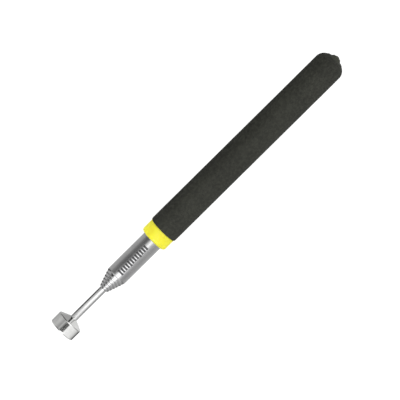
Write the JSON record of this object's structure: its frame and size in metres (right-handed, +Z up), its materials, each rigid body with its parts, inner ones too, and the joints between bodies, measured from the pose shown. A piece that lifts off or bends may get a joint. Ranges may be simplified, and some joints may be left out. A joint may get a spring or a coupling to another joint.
{
  "type": "magnetic pickup tool",
  "caption": "Telescoping magnetic pickup tool: nested steel tubes that slide out of a foam-gripped handle, with a magnet head on the last thin section.",
  "frame": {"origin": "on the tool's axis, in the middle of the grip's straight part", "axes": "+X along the axis towards the tail, so the magnet faces -X; +Z up with the tool lying down"},
  "size_m": [0.222, 0.0182, 0.0183],
  "materials": {
    "tube_steel": "satin stainless",
    "rod_steel": "polished",
    "shim_brass": "rolled sheet",
    "head_chrome": "bright plated",
    "magnet_plate": "ground sintered magnet",
    "sleeve_plastic": "plain moulded",
    "plate_steel": "plain turned",
    "rivet_steel": "plain turned",
    "collar_plastic": "moulded lemon yellow",
    "grip_foam": "matt fine-celled foam",
    "plug_plastic": "moulded olive"
  },
  "bodies": {
    "handle": {"outer_tube": "tube_steel", "collar": "collar_plastic", "grip": "grip_foam", "tail_plug": "plug_plastic"},
    "carrier_2": {"shims_2": "shim_brass"},
    "section_2": {"tube_2": "tube_steel"},
    "carrier_3": {"shims_3": "shim_brass"},
    "section_3": {"tube_3": "tube_steel"},
    "carrier_4": {"shims_4": "shim_brass"},
    "section_4": {"tube_4": "tube_steel"},
    "carrier_5": {"shims_5": "shim_brass"},
    "section_5": {"tube_5": "tube_steel"},
    "carrier_6": {"shims_6": "shim_brass"},
    "section_6": {"tube_6": "tube_steel"},
    "carrier_tip": {"rod_shims": "shim_brass"},
    "tip": {"rod": "rod_steel", "head_shell": "head_chrome", "magnet": "magnet_plate", "magnet_sleeve": "sleeve_plastic", "back_plate": "plate_steel", "head_rivet": "rivet_steel"}
  },
  "joints": [
    {"name": "section_2_slide", "type": "slide", "parent": "handle", "child": "carrier_2", "axis": [-1, 0, 0], "range_m": [0, 0.14805]},
    {"name": "section_2_turn", "type": "hinge", "parent": "carrier_2", "child": "section_2", "pos_m": [0, 0, 0], "axis": [-1, 0, 0], "continuous": true},
    {"name": "section_3_slide", "type": "slide", "parent": "section_2", "child": "carrier_3", "axis": [-1, 0, 0], "range_m": [0, 0.14268]},
    {"name": "section_3_turn", "type": "hinge", "parent": "carrier_3", "child": "section_3", "pos_m": [0, 0, 0], "axis": [-1, 0, 0], "continuous": true},
    {"name": "section_4_slide", "type": "slide", "parent": "section_3", "child": "carrier_4", "axis": [-1, 0, 0], "range_m": [0, 0.13666]},
    {"name": "section_4_turn", "type": "hinge", "parent": "carrier_4", "child": "section_4", "pos_m": [0, 0, 0], "axis": [-1, 0, 0], "continuous": true},
    {"name": "section_5_slide", "type": "slide", "parent": "section_4", "child": "carrier_5", "axis": [-1, 0, 0], "range_m": [0, 0.13064]},
    {"name": "section_5_turn", "type": "hinge", "parent": "carrier_5", "child": "section_5", "pos_m": [0, 0, 0], "axis": [-1, 0, 0], "continuous": true},
    {"name": "section_6_slide", "type": "slide", "parent": "section_5", "child": "carrier_6", "axis": [-1, 0, 0], "range_m": [0, 0.12462]},
    {"name": "section_6_turn", "type": "hinge", "parent": "carrier_6", "child": "section_6", "pos_m": [0, 0, 0], "axis": [-1, 0, 0], "continuous": true},
    {"name": "tip_slide", "type": "slide", "parent": "section_6", "child": "carrier_tip", "axis": [-1, 0, 0], "range_m": [-0.0227, 0.0959]},
    {"name": "tip_turn", "type": "hinge", "parent": "carrier_tip", "child": "tip", "pos_m": [0, 0, 0], "axis": [-1, 0, 0], "continuous": true}
  ]
}
